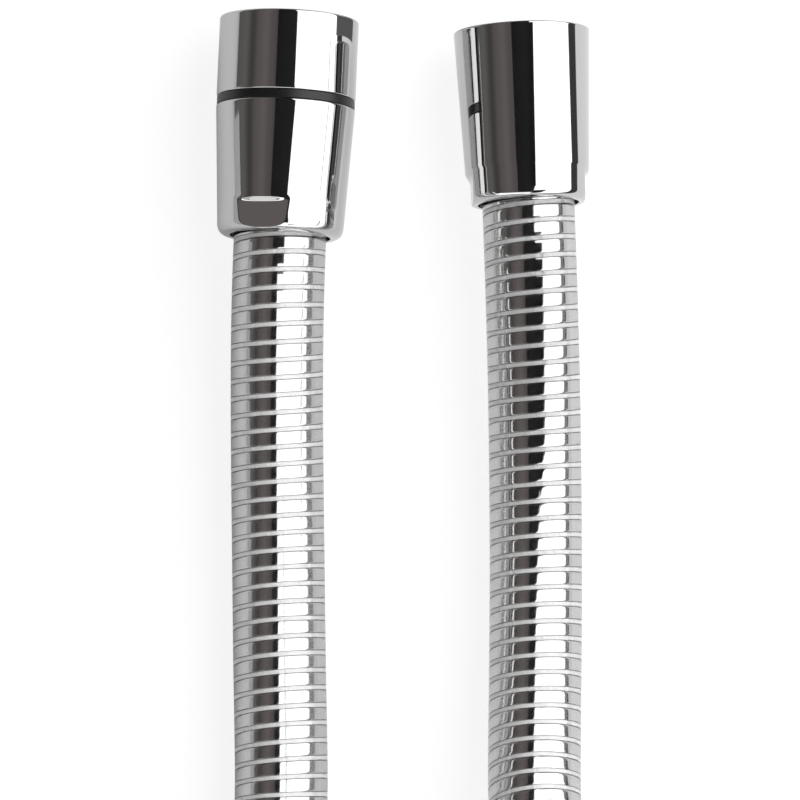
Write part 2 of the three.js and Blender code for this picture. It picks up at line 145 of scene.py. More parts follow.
# Upright cards, each with its place across, its colour and its outline from the side: one lights the hoses' left
# edge, and one darkens what the swivel ring shows of the nut's mouth.
UPRIGHT_CARDS = (
    ("card_low_left", -0.3, "#B4B4B4", ((-0.5, 0.0), (0.035, 0.0), (0.035, 0.065), (-0.5, 0.065))),
    ("strip_beside_mouth", 0.0083, "#A0A0A0", ((0.0183, 0.001), (0.03, 0.001), (0.03, 0.022), (0.0183, 0.022))),
)
# What polished metal sees of the room, by degrees off the vertical, from left to right.
ROOM_BANDS = ((-180, "#5A5A5A"), (-100, "#606060"), (-86, "#686767"), (-74, "#6E6D6B"), (-60, "#4E4C4A"),
              (-47, "#6C6665"), (-36, "#756F6E"), (-24, "#665F60"), (-10, "#404040"), (30, "#303030"),
              (90, "#505050"), (180, "#5A5A5A"))


def linear(code):
    """A hex sRGB colour as linear red, green, blue and alpha."""
    channels = [int(code[i:i + 2], 16) / 255 for i in (1, 3, 5)]
    return tuple(c / 12.92 if c <= 0.04045 else ((c + 0.055) / 1.055) ** 2.4 for c in channels) + (1.0,)


def colour_property(name, description, code):
    return FloatVectorProperty(
        name=name, description=description, subtype="COLOR", size=4, min=0, max=1, default=linear(code))


def length_property(name, description, millimetres, least=0.0):
    return FloatProperty(
        name=name, description=description, subtype="DISTANCE", unit="LENGTH", min=least, precision=5,
        default=millimetres * MM)


def level_property(name, description, level):
    return FloatProperty(
        name=name, description=f"How bright {description} is, where 1 is white", min=0, default=level)


class HoseSizes(bpy.types.PropertyGroup):
    """Sizes of the hose between the fittings."""
    outside: length_property("Outside", "Outer diameter of the clear sheath", 16.0)
    sheath_wall: length_property("Sheath wall", "Thickness of the clear sheath", 1.2)
    band_pitch: length_property("Band pitch", "Distance from one turn of the silver band to the next", 3.02)
    band_gap: length_property("Band gap", "Pale gap between two turns of the silver band", 0.68)
    band_thickness: length_property("Band thickness", "How far the silver band stands off the inner tube", 0.25)
    bore: length_property("Bore", "Inner diameter of the inner tube", 10.8)


class StageSizes(bpy.types.PropertyGroup):
    """Camera and lamps."""
    camera_distance: length_property("Camera distance", "From the lens to the point that it aims at", 1400.0)
    camera_lean: FloatProperty(
        name="Camera lean", description="How far the camera leans off the vertical, to the hose's side",
        subtype="ANGLE", default=math.radians(7.0))
    aim_x: length_property("Aim across", "Where the camera aims, left and right", -0.45, least=-10)
    aim_y: length_property("Aim along", "Where the camera aims, towards the mouths", -46.4, least=-10)
    aim_z: length_property("Aim height", "Height of the point that the camera aims at", 12.0)
    focal: FloatProperty(
        name="Focal length", description="Focal length on a sensor 36 mm wide", min=10, default=365.4)
    softbox_level: level_property("Softbox level", "the softbox's face", 2.1)
    front_level: level_property("Front level", "the low softbox in front", 1.7)
    room_level: level_property("Room level", "the grey room", 0.12)
    columns: IntProperty(
        name="Columns", description="Faces round each chromed fitting", min=32, max=320, default=192)


class Finishes(bpy.types.PropertyGroup):
    """Colours of the materials."""
    chrome: colour_property("Chrome", "Bright chromium plate", "#C8C8C8")
    brass: colour_property("Brass", "Bare turned brass", "#B9975A")
    steel: colour_property("Steel", "Stainless steel of the ferrules and the split ring", "#A9ABAD")
    rubber: colour_property("Rubber", "EPDM washers and O-rings", "#1D1D1F")
    glide: colour_property("Glide ring", "Black acetal ring in the seam", "#161618")
    slide: colour_property("Slide ring", "White acetal ring behind the flange", "#E6E4DD")
    sheath: colour_property("Sheath", "Clear PVC", "#F6F6F6")
    band: colour_property("Band", "Metallised film", "#D2D2D2")
    tube: colour_property("Inner tube", "Pale PVC of the inner tube", "#FBFBFA")
    strap: colour_property("Strap", "Woven nylon of the straps", "#232325")


def add_node(tree, kind, inputs=None, **settings):
    """Adds a shader node, sets its properties, and fills its sockets with values, sockets or nodes' first outputs."""
    made = tree.nodes.new("ShaderNode" + kind)
    for key, value in settings.items():
        setattr(made, key, value)
    for key, value in (inputs or {}).items():
        if isinstance(value, bpy.types.Node):
            value = value.outputs[0]
        if isinstance(value, bpy.types.NodeSocket):
            tree.links.new(value, made.inputs[key])
        else:
            made.inputs[key].default_value = value
    return made


def new_material(name):
    """An empty node material and its tree."""
    material = bpy.data.materials.new(name)
    material.use_nodes = True
    material.node_tree.nodes.clear()
    return material, material.node_tree


def close_finish(tree, sockets, height, bump, gloss=None, roughness=None):
    """Ends a finish with bumps of a strength and height in metres, and with a roughness that varies, if it does,
    between two values with the gloss."""
    strength, distance = bump
    relief = add_node(tree, "Bump", {"Strength": strength, "Distance": distance, "Height": height})
    inputs = {"Normal": relief, **sockets}
    if roughness:
        low, high = roughness
        inputs["Roughness"] = add_node(tree, "MapRange", {"Value": gloss, "To Min": low, "To Max": high})
    add_node(tree, "OutputMaterial", {"Surface": add_node(tree, "BsdfPrincipled", inputs)})


def grained(name, sockets, bump_grain, bump, bump_detail=2.0, gloss_grain=None, roughness=None, gloss_detail=2.0):
    """A finish whose bumps and gloss follow noise with a grain of a real size in metres."""
    material, tree = new_material(name)
    place = add_node(tree, "TexCoord").outputs["Object"]
    relief, gloss = (add_node(tree, "TexNoise", {
        "Vector": place, "Scale": 1 / grain, "Detail": detail, "Roughness": NOISE_ROUGHNESS}) if used else None
        for grain, detail, used in ((bump_grain, bump_detail, True),
                                    (gloss_grain or bump_grain, gloss_detail, roughness)))
    close_finish(tree, sockets, relief, bump, gloss, roughness)
    return material


def chromed_brass(finishes):
    """Bright chromium electroplated over buffed brass: a mirror, with a faint haze where it was handled and the
    long shallow ripples, about 3 mm apart, that buffing leaves."""
    return grained("chromed brass, buffed", {"Base Color": finishes.chrome, "Metallic": 1.0}, bump_grain=3 * MM,
                   bump=(0.02, 0.02 * MM), bump_detail=0.0, gloss_grain=6 * MM, roughness=(0.02, 0.055))


def turned_brass(finishes):
    """Bare brass as the lathe left it: warm, half bright, with fine rings of tool marks."""
    material, tree = new_material("turned brass")
    place = add_node(tree, "TexCoord")
    marks = add_node(tree, "TexWave", {
        "Vector": place.outputs["Object"], "Scale": math.tau / (WAVE_UNIT * TOOL_MARK_SPACING), "Distortion": 0.4},
        wave_type="BANDS", bands_direction="Y")
    tone = add_node(tree, "TexNoise", {
        "Vector": place.outputs["Object"], "Scale": 1 / (2.5 * MM), "Detail": 2.0, "Roughness": NOISE_ROUGHNESS})
    close_finish(tree, {"Base Color": finishes.brass, "Metallic": 1.0}, marks.outputs["Fac"], (0.25, 0.02 * MM),
                 tone, (0.24, 0.42))
    return material


def drawn_steel(finishes):
    """Stainless steel, drawn thin and crimped: grey and satin, with streaks along the draw."""
    material, tree = new_material("stainless steel, drawn")
    place = add_node(tree, "TexCoord")
    stretched = add_node(tree, "Mapping", {"Vector": place.outputs["Object"], "Scale": (1.0, 0.06, 1.0)})
    streaks = add_node(tree, "TexNoise", {"Vector": stretched, "Scale": 1 / (0.5 * MM), "Detail": 3.0})
    close_finish(tree, {"Base Color": finishes.steel, "Metallic": 1.0}, streaks, (0.15, 0.01 * MM), streaks,
                 (0.2, 0.38))
    return material


def moulded_rubber(finishes):
    """EPDM rubber pressed in a mould: near black and dull, with a fine skin."""
    return grained("EPDM rubber, moulded", {"Base Color": finishes.rubber, "IOR": 1.5}, bump_grain=0.15 * MM,
                   bump=(0.3, 0.02 * MM), bump_detail=3.0, roughness=(0.55, 0.75), gloss_detail=3.0)


def moulded_acetal(name, colour):
    """Acetal, injection moulded: a hard, waxy, low sheen."""
    return grained(name, {"Base Color": colour, "IOR": 1.48}, bump_grain=0.3 * MM, bump=(0.1, 0.01 * MM),
                   roughness=(0.3, 0.42))


def clear_pvc(finishes):
    """Clear PVC, extruded and glossy: it lets the band show through and shines itself."""
    material, tree = new_material("clear PVC, extruded")
    shader = add_node(tree, "BsdfPrincipled", {
        "Base Color": finishes.sheath, "Transmission Weight": 1.0, "IOR": 1.53, "Roughness": 0.02})
    add_node(tree, "OutputMaterial", {"Surface": shader})
    return material


def metallised_film(finishes):
    """Aluminised film: a thin mirror, a little creased along the hose where it was wound."""
    return grained("aluminised film, wound", {"Base Color": finishes.band, "Metallic": 1.0}, bump_grain=1.2 * MM,
                   bump=(0.05, 0.02 * MM), roughness=(0.05, 0.12))


def pale_pvc(finishes):
    """Pale PVC of the inner tube, extruded over the wound band's edges: milky, glossy and a little lumpy, so that
    small lights stand in the gaps."""
    return grained("pale PVC, extruded", {"Base Color": finishes.tube, "IOR": 1.53, "Specular IOR Level": 1.0},
                   bump_grain=0.9 * MM, bump=(1.0, 0.35 * MM), bump_detail=1.0, gloss_grain=1.5 * MM,
                   roughness=(0.12, 0.25))


def woven_nylon(finishes):
    """Nylon strap with a napped loop face: matt and dark, with a fine nap that catches light at its edge."""
    return grained("nylon hook-and-loop strap, woven", {
        "Base Color": finishes.strap, "Roughness": 0.9, "Sheen Weight": 0.35, "Sheen Roughness": 0.5},
        bump_grain=0.35 * MM, bump=(0.8, 0.15 * MM), bump_detail=4.0)


def mesh_object(name, points, faces, material, smooth=True):
    """A new mesh object in the scene, its faces turned outward."""
    mesh = bpy.data.meshes.new(name)
    mesh.from_pydata(points, [], faces)
    shape = bmesh.new()
    shape.from_mesh(mesh)
    bmesh.ops.recalc_face_normals(shape, faces=shape.faces)
    shape.to_mesh(mesh)
    shape.free()
    if smooth:
        mesh.shade_smooth()
    made = bpy.data.objects.new(name, mesh)
    bpy.context.scene.collection.objects.link(made)
    mesh.materials.append(material)
    return made


def seat(piece, body, slot, *nodes):
    """Ties a piece to its body and hides the solids that it stands for. Its slot is not used."""
    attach(piece, body)
    if nodes:
        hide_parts(*nodes)
    return piece


def fitting_frame(mouth, radius, lean):
    """The fitting's own frame: +Y out of its mouth, metres."""
    return Matrix.Translation((mouth[0] * MM, mouth[1] * MM, radius * MM)) @ Matrix.Rotation(
        math.radians(lean), 4, "Z")


def eased(corners, small=0.12, steps=4, support=0.06):
    """Rounds the corners of a closed outline of (radius, depth) or (radius, depth, round), and keeps a row beside
    each round so that the long faces between them stay true."""
    straight, large = 0.05, 0.5
    outline = []
    for i, corner in enumerate(corners):
        here = Vector(corner[:2])
        back = Vector(corners[i - 1][:2]) - here
        ahead = Vector(corners[(i + 1) % len(corners)][:2]) - here
        turn = math.pi - back.angle(ahead)
        if turn < straight:
            outline.append(tuple(here))
            continue
        wanted = corner[2] if len(corner) > 2 else small
        most, rows = (0.4, steps) if wanted < large else (0.9, 3 * steps)
        reach = min(wanted * math.tan(turn / 2), most * back.length, most * ahead.length)
        start, end = here + back.normalized() * reach, here + ahead.normalized() * reach
        outline.append(tuple(start + back.normalized() * min(support, 0.05 * back.length)))
        for t in (k / rows for k in range(rows + 1)):
            outline.append(tuple(start * (1 - t) ** 2 + here * 2 * t * (1 - t) + end * t ** 2))
        outline.append(tuple(end + ahead.normalized() * min(support, 0.05 * ahead.length)))
    return outline


class SpannerFlats:
    """Two opposite flats for a spanner near the back of a cone."""

    def __init__(self, back_radius, back, flat):
        centre, length, self.ledge = flat
        self.front = back - length
        self.centre = math.radians(centre)
        self.reach = math.sqrt(back_radius ** 2 - (FLAT_WIDTH / 2) ** 2)

    def half_angle(self, radius):
        """Half of the angle that a flat takes on a circle of this radius."""
        least = 0.06
        return max(least, math.acos(self.reach / radius)) if radius > self.reach else least

    def angles(self, radius, columns):
        """Column angles with the flats' edges always on a column, and two more close beside each."""
        half, beside = self.half_angle(radius), math.radians(0.5)
        inside = columns // 8
        outside = columns // 2 - inside - 4
        angles = []
        for side in (0.0, math.pi):
            middle = self.centre + side
            angles += [middle - half - beside, middle - half + beside]
            span = 2 * (half - 2 * beside)
            angles += [middle - half + 2 * beside + span * k / (inside - 1) for k in range(inside)]
            angles += [middle + half - beside, middle + half + beside]
            start, rest = middle + half + 2 * beside, math.pi - 2 * half - 4 * beside
            angles += [start + rest * k / (outside - 1) for k in range(outside)]
        return angles

    def radius(self, radius, depth, angle):
        """The radius left once the flat is cut."""
        offset = (angle - self.centre + math.pi / 2) % math.pi - math.pi / 2
        level = min(radius, self.reach / max(0.2, math.cos(offset)))
        share = min(1.0, max(0.0, (depth - self.front) / self.ledge))
        return radius + (level - radius) * share * share * (3 - 2 * share)


def ring_faces(rows, around, closed=False):
    """Quads between rows of points that each run round a ring, and from the last row to the first if closed."""
    return [(i * around + k, i * around + (k + 1) % around, (i + 1) % rows * around + (k + 1) % around,
             (i + 1) % rows * around + k) for i in range(rows if closed else rows - 1) for k in range(around)]


def end_caps(rows, around):
    """A face over the first row and one over the last."""
    return [tuple(range(around)), tuple(range(rows * around - 1, (rows - 1) * around - 1, -1))]


def thread_ridge(depth, angle):
    """How far the internal thread's ridge stands in from the bore's wall. It fades in and out at its ends, and its
    crest and root are flat."""
    first, last = 0.9, WASHER_FRONT - 0.3
    fade = min(1.0, max(0.0, (depth - first) / 0.6)) * min(1.0, max(0.0, (last - depth) / 0.5))
    turn = (depth / THREAD_PITCH - angle / math.tau) % 1.0
    flank = 1 - abs(2 * turn - 1)
    return THREAD_HEIGHT * fade * min(1.0, max(0.0, flank * 1.25 - 0.12))


def turned(name, outline, place, material, columns=96, flats=None, threaded=False):
    """A closed outline turned about a fitting's axis, with its flats and thread."""
    points = []
    for radius, depth in outline:
        if flats:
            angles = flats.angles(radius, columns)
        else:
            angles = [math.tau * k / columns for k in range(columns)]
        for angle in angles:
            r = flats.radius(radius, depth, angle) if flats else radius
            if threaded and abs(radius - THREAD_RADIUS) < ON_THREAD:
                r -= thread_ridge(depth, angle)
            points.append(place @ Vector((r * math.sin(angle) * MM, -depth * MM, r * math.cos(angle) * MM)))
    faces = ring_faces(len(outline), len(points) // len(outline), closed=True)
    return mesh_object(name, points, faces, material)


def thread_rows():
    """Rows of the threaded bore, from deep to the mouth."""
    step = 0.15
    count = int((WASHER_FRONT - 0.7) / step)
    return [*((THREAD_RADIUS, WASHER_FRONT - step * k) for k in range(count)), (THREAD_RADIUS, 0.5)]


def flat_rows(front_radius, front, back_radius, back, flats):
    """Rows down a cone's side, close together where the flats begin."""
    ledge = [flats.ledge * k / 8 for k in range(9)]
    depths = [flats.front + d for d in (-0.4, -0.05, *ledge, flats.ledge + 0.1, 2.4, 2.8, 3.1)]
    return [(front_radius + (back_radius - front_radius) * (d - front) / (back - front), d) for d in depths]


def back_opening(radius, back, edge):
    """Corners of a cone's back: its rounded edge, and the lip round the hose."""
    lip = back - LIP_LENGTH
    return [(radius, back, edge), (HOSE_OPENING, back), (HOSE_OPENING, lip), (CONE_BORE, lip)]


def barbs(stem, start, end):
    """Corners of a barbed tail to its end: each barb rises to its peak and drops back to the stem."""
    corners = []
    depth = start + BARB_PITCH
    while depth < end - 1:
        corners += [(stem, depth - 0.6 * BARB_PITCH, 0.02), (stem + BARB_RISE, depth - 0.6 * BARB_PITCH + 0.2, 0.05),
                    (stem, depth, 0.02)]
        depth += BARB_PITCH
    return [*corners, (stem, end, 0.3), (WATER_RADIUS, end)]


def ferrule_outline(front, back):
    """A thin sleeve with a hooked front lip and three crimped grooves."""
    inner = TAIL_RADIUS + BARB_RISE + CLEARANCE
    corners = [(inner, front), (FERRULE_OUTSIDE, front, 0.3)]
    for share in (0.3, 0.5, 0.7):
        middle = front + (back - front) * share
        corners += [(FERRULE_OUTSIDE, middle - 0.8, 0.3), (FERRULE_OUTSIDE - 0.2, middle, 0.4),
                    (FERRULE_OUTSIDE, middle + 0.8, 0.3)]
    corners += [(FERRULE_OUTSIDE, back), (FERRULE_INSIDE, back), (FERRULE_INSIDE, front + FERRULE_LIP),
                (inner, front + FERRULE_LIP)]
    return eased(corners)


def flat_ring(inner, outer, front, back, edge=0.12, outer_edge=None):
    """A ring with a rectangular section and eased edges."""
    outer_edge = outer_edge or edge
    return eased([(inner, front), (outer, front, outer_edge), (outer, back, outer_edge), (inner, back)], edge)


def washer_outline():
    return flat_ring(WASHER_BORE, WASHER_RADIUS, WASHER_FRONT, WASHER_BACK, 0.2)


def ring_section(middle, depth, section, steps=16):
    return [(middle + section * math.cos(math.tau * k / steps), depth + section * math.sin(math.tau * k / steps))
            for k in range(steps)]


def catmull_rom(points, spacing=0.001):
    """Points about a spacing apart on a centripetal curve through the given ones."""
    points = [Vector(p) for p in points]
    padded = [2 * points[0] - points[1], *points, 2 * points[-1] - points[-2]]
    line = []
    for a, b, c, d in zip(padded, padded[1:], padded[2:], padded[3:]):
        knots = [0.0]
        for start, end in ((a, b), (b, c), (c, d)):
            knots.append(knots[-1] + math.sqrt((end - start).length))
        count = max(2, round((c - b).length / spacing))
        for k in range(count):
            t = knots[1] + (knots[2] - knots[1]) * k / count

            def between(p, q, low, high):
                return p.lerp(q, (t - low) / (high - low))

            ab = between(a, b, knots[0], knots[1])
            bc = between(b, c, knots[1], knots[2])
            cd = between(c, d, knots[2], knots[3])
            line.append(between(between(ab, bc, knots[0], knots[2]), between(bc, cd, knots[1], knots[3]),
                                knots[1], knots[2]))
    line.append(points[-1])
    return line


def ramp(start, end, angle):
    """0 before start, 1 after end, with a soft step between."""
    t = min(1.0, max(0.0, (angle - start) / (end - start)))
    return t * t * (3 - 2 * t)


def coil_point(angle):
    """The hose's middle at an angle round the coil, which counts on through its turns."""
    radius = COIL_OUTER - (COIL_OUTER - COIL_INNER) * ramp(345, 480, angle)
    radius += (COIL_MIDDLE - COIL_INNER) * ramp(760, 900, angle) + (COIL_OUTER - COIL_MIDDLE) * ramp(930, 1060, angle)
    height = FLOOR_LEVEL + (UPPER_LEVEL - FLOOR_LEVEL) * ramp(622, 745, angle)
    height -= COIL_SINK * (ramp(860, 930, angle) - ramp(930, 985, angle)) + COIL_END_SINK * ramp(1085, 1140, angle)
    for strap in STRAP_ANGLES:
        aside = abs((angle - strap + 180) % 360 - 180)
        height += (STRAP_THICKNESS + STRAP_SLACK) * (1 - ramp(5, 20, aside))
    turn = math.radians(angle)
    return (COIL_CENTRE[0] + radius * math.cos(turn), COIL_CENTRE[1] + radius * math.sin(turn), height)


class HoseLine:
    """The hose's centreline, with the place and frame at any distance along it."""

    def __init__(self, swivel_frame, nut_frame):
        step = (COIL_END - COIL_START) / COIL_POINTS
        coil = [coil_point(COIL_START + step * i) for i in range(COIL_POINTS + 1)]
        line = catmull_rom([*SWIVEL_RUN, *coil, *reversed(NUT_RUN)])
        line = self.smoothed(line)
        to_swivel, to_nut = swivel_frame.inverted(), nut_frame.inverted()
        line = [p for p in line if -(to_swivel @ p).y >= SWIVEL_HOSE_END * MM or (to_swivel @ p).x > 0.02]
        line = [p for p in line if -(to_nut @ p).y >= NUT_HOSE_END * MM or (to_nut @ p).x < -0.02]
        self.points = line
        self.along = [0.0]
        for before, after in zip(line, line[1:]):
            self.along.append(self.along[-1] + (after - before).length)
        self.length = self.along[-1]

    @staticmethod
    def smoothed(line, rounds=40):
        """The line with the small changes of bend at its points eased."""
        for _ in range(rounds):
            line = [line[0], *[(a + 2 * b + c) / 4 for a, b, c in zip(line, line[1:], line[2:])], line[-1]]
        return line

    def at(self, distance):
        """The middle, the direction to the hose's side and the direction up, at a distance along it."""
        low, high = 0, len(self.along) - 1
        while high - low > 1:
            middle = (low + high) // 2
            if self.along[middle] <= distance:
                low = middle
            else:
                high = middle
        share = (distance - self.along[low]) / max(1e-9, self.along[high] - self.along[low])
        point = self.points[low].lerp(self.points[high], share)
        ahead = (self.points[min(high + 1, len(self.points) - 1)] - self.points[max(low - 1, 0)]).normalized()
        side = Vector((0, 0, 1)).cross(ahead).normalized()
        return point, side, ahead.cross(side)


def tube(name, line, outer, inner, columns, spacing, material):
    """A tube with a wall along the whole hose. Returns it and its ring centres."""
    count = round(line.length / spacing)
    stations = [line.at(line.length * i / count) for i in range(count + 1)]
    points = []
    for radius in (outer, inner):
        for point, side, up in stations:
            for k in range(columns):
                turn = math.tau * k / columns
                points.append(point + radius * (math.cos(turn) * side + math.sin(turn) * up))
    shell = len(stations) * columns
    faces = ring_faces(len(stations), columns)
    faces += [tuple(shell + corner for corner in face) for face in faces]
    last = (len(stations) - 1) * columns
    for k in range(columns):
        beside = (k + 1) % columns
        faces.append((k, shell + k, shell + beside, beside))
        faces.append((last + k, last + beside, shell + last + beside, shell + last + k))
    return mesh_object(name, points, faces, material), [point for point, _, _ in stations]


def band(name, line, start, end, pitch, width, inner, thickness, per_turn, corner, material):
    """A flat band wound round the hose from start to end, measured along its line."""
    steps = round((end - start) / pitch * per_turn)
    half = width / 2
    if corner:
        side = [(0.0, 1.0), (0.35, 0.5), (1.2, 0.2), (3.0, 0.05), (6.0, 0.0)]
        section = [(-half, 0), *[(-half + in_ * corner, thickness - down * corner) for in_, down in side],
                   *[(half - in_ * corner, thickness - down * corner) for in_, down in reversed(side)], (half, 0)]
    else:
        section = [(-half, 0), (-half, thickness), (half, thickness), (half, 0)]
    points = []
    for i in range(steps + 1):
        distance = start + (end - start) * i / steps
        turn = math.tau * distance / pitch
        for shift, rise in section:
            at = min(line.length, max(0.0, distance + shift))
            point, side, up = line.at(at)
            points.append(point + (inner + rise) * (math.cos(turn) * side + math.sin(turn) * up))
    faces = ring_faces(steps + 1, len(section)) + end_caps(steps + 1, len(section))
    made = mesh_object(name, points, faces, material)
    if not corner:
        made.data.set_sharp_from_angle(angle=math.radians(40))
    return made


def hull(points):
    """The convex outline round some points, counterclockwise."""
    points = sorted(set(points))
    sides = []
    for run in (points, points[::-1]):
        side = []
        for p in run:
            while len(side) > 1 and ((side[-1][0] - side[-2][0]) * (p[1] - side[-2][1])
                                     - (side[-1][1] - side[-2][1]) * (p[0] - side[-2][0])) <= 0:
                side.pop()
            side.append(p)
        sides += side[:-1]
    return sides


def strap_loop(name, angle, hose_radius, material):
    """A strap pulled round the turns of the coil where they pass an angle."""
    turns = []
    winding = angle
    while winding < COIL_END:
        if winding > COIL_START:
            x, y, z = coil_point(winding)
            turns.append((math.hypot(x - COIL_CENTRE[0], y - COIL_CENTRE[1]), z))
        winding += 360

    reach = hose_radius + 0.1 * MM
    outline = hull([
        (round(r + reach * math.cos(math.radians(t)), 7), round(z + reach * math.sin(math.radians(t)), 7))
        for r, z in turns for t in range(0, 360, 5)])

    def resampled(loop, count):
        spans = [math.dist(a, b) for a, b in zip(loop, loop[1:] + loop[:1])]
        total, result, k, passed = sum(spans), [], 0, 0.0
        for i in range(count):
            wanted = total * i / count
            while passed + spans[k] < wanted:
                passed += spans[k]
                k += 1
            a, b = loop[k], loop[(k + 1) % len(loop)]
            share = (wanted - passed) / spans[k]
            result.append((a[0] + (b[0] - a[0]) * share, a[1] + (b[1] - a[1]) * share))
        return result

    count, thick, edge = STRAP_STATIONS, STRAP_THICKNESS, STRAP_EDGE
    inner = resampled(outline, count)
    normals = []
    for i in range(count):
        a, b = inner[i - 1], inner[(i + 1) % count]
        length = math.dist(a, b)
        normals.append(((b[1] - a[1]) / length, -(b[0] - a[0]) / length))
    start = max(range(count), key=lambda i: inner[i][1] + 0.2 * inner[i][0])
    place = Matrix.Translation((COIL_CENTRE[0], COIL_CENTRE[1], 0)) @ Matrix.Rotation(math.radians(angle), 4, "Z")
    points = []
    steps = count + STRAP_LAP
    for i in range(steps):
        k = (start + i) % count
        lift = thick * ramp(count - 14, count - 2, i)
        half = STRAP_WIDTH / 2 * (1 - 0.35 * ramp(steps - 6, steps - 1, i))
        for y, out in ((-half + edge, 0.0), (-half, edge), (-half, thick - edge), (-half + edge, thick),
                       (half - edge, thick), (half, thick - edge), (half, edge), (half - edge, 0.0)):
            r, z = (at + normal * (out + lift) for at, normal in zip(inner[k], normals[k]))
            points.append(place @ Vector((r, y, z)))
    around = len(points) // steps
    made = mesh_object(name, points, ring_faces(steps, around) + end_caps(steps, around), material)
    made.data.set_sharp_from_angle(angle=math.radians(40))
    return made


class Fitting:
    """One end of the hose: its place, the finishes of its pieces by slot, and the columns of its chromed ones."""

    def __init__(self, context, place, acetal_slot, acetal):
        finishes = context.scene.shower_hose_finishes
        self.place = place
        self.columns = context.scene.shower_hose_stage.columns
        self.materials = {
            "chrome": chromed_brass(finishes), "brass": turned_brass(finishes), "steel": drawn_steel(finishes),
            "rubber": moulded_rubber(finishes), acetal_slot: moulded_acetal(*acetal)}

    def add(self, name, outline, body, slot, node, **how):
        """Turns one piece, and seats it on its body in place of its solid."""
        seat(turned(name, outline, self.place, self.materials[slot], **how), body, slot, node)


def fitting_frames():
    """The swivel end's frame and the nut end's."""
    return (fitting_frame(SWIVEL_MOUTH, RING_RADIUS, SWIVEL_LEAN), fitting_frame(NUT_MOUTH, NUT_RADIUS, NUT_LEAN))


class SHOWERHOSE_OT_camera(bpy.types.Operator):
    """Adds the camera, a long lens that looks down on the two ends"""
    bl_idname = "shower_hose.camera"
    bl_label = "Camera"

    def execute(self, context):
        sizes = context.scene.shower_hose_stage
        camera = bpy.data.objects.new("camera", bpy.data.cameras.new("camera"))
        context.scene.collection.objects.link(camera)
        lean = sizes.camera_lean
        aim = Vector((sizes.aim_x, sizes.aim_y, sizes.aim_z))
        camera.location = aim + sizes.camera_distance * Vector((0, -math.sin(lean), math.cos(lean)))
        camera.rotation_euler = (lean, 0, 0)
        camera.data.sensor_width = 36
        camera.data.lens = sizes.focal
        camera.data.clip_start = 0.01
        camera.data.clip_end = 20
        context.scene.camera = camera
        return {"FINISHED"}


class SHOWERHOSE_OT_hose(bpy.types.Operator):
    """Adds the hose: inner tube, silver band and clear sheath along one route"""
    bl_idname = "shower_hose.hose"
    bl_label = "Hose"

    def execute(self, context):
        sizes, finishes = context.scene.shower_hose_sizes, context.scene.shower_hose_finishes
        swivel, nut = fitting_frames()
        line = HoseLine(swivel, nut)
        outside = sizes.outside / 2
        clear, film, pale = clear_pvc(finishes), metallised_film(finishes), pale_pvc(finishes)
        # The sheath is extruded onto the band, with no air between them, so it reaches a little into the inner tube.
        band_inner = outside - sizes.sheath_wall - sizes.band_thickness
        sheath, centres = tube("clear_sheath", line, outside, band_inner - 0.1 * MM, 48, 3.5 * MM, clear)
        inner_tube, _ = tube("inner_tube", line, band_inner, sizes.bore / 2, 36, 4 * MM, pale)
        for piece in (sheath, inner_tube):
            seat(piece, "hose", "hose", "hose_run_swivel", "hose_run_nut", "hose_coil")
        # Near the fittings, where it is seen close, the band has more faces and rounded edges.
        near, far = 0.125, line.length - 0.125
        runs = (("silver_band_swivel", "hose_run_swivel", 0.001, near, 64, 0.12 * MM),
                ("silver_band_coil", "hose_coil", near, far, 28, 0),
                ("silver_band_nut", "hose_run_nut", far, line.length - 0.001, 64, 0.12 * MM))
        for name, node, start, end, per_turn, corner in runs:
            made = band(name, line, start, end, sizes.band_pitch, sizes.band_pitch - sizes.band_gap, band_inner,
                        sizes.band_thickness, per_turn, corner, film)
            seat(made, "hose", "hose", node)
        return {"FINISHED"}


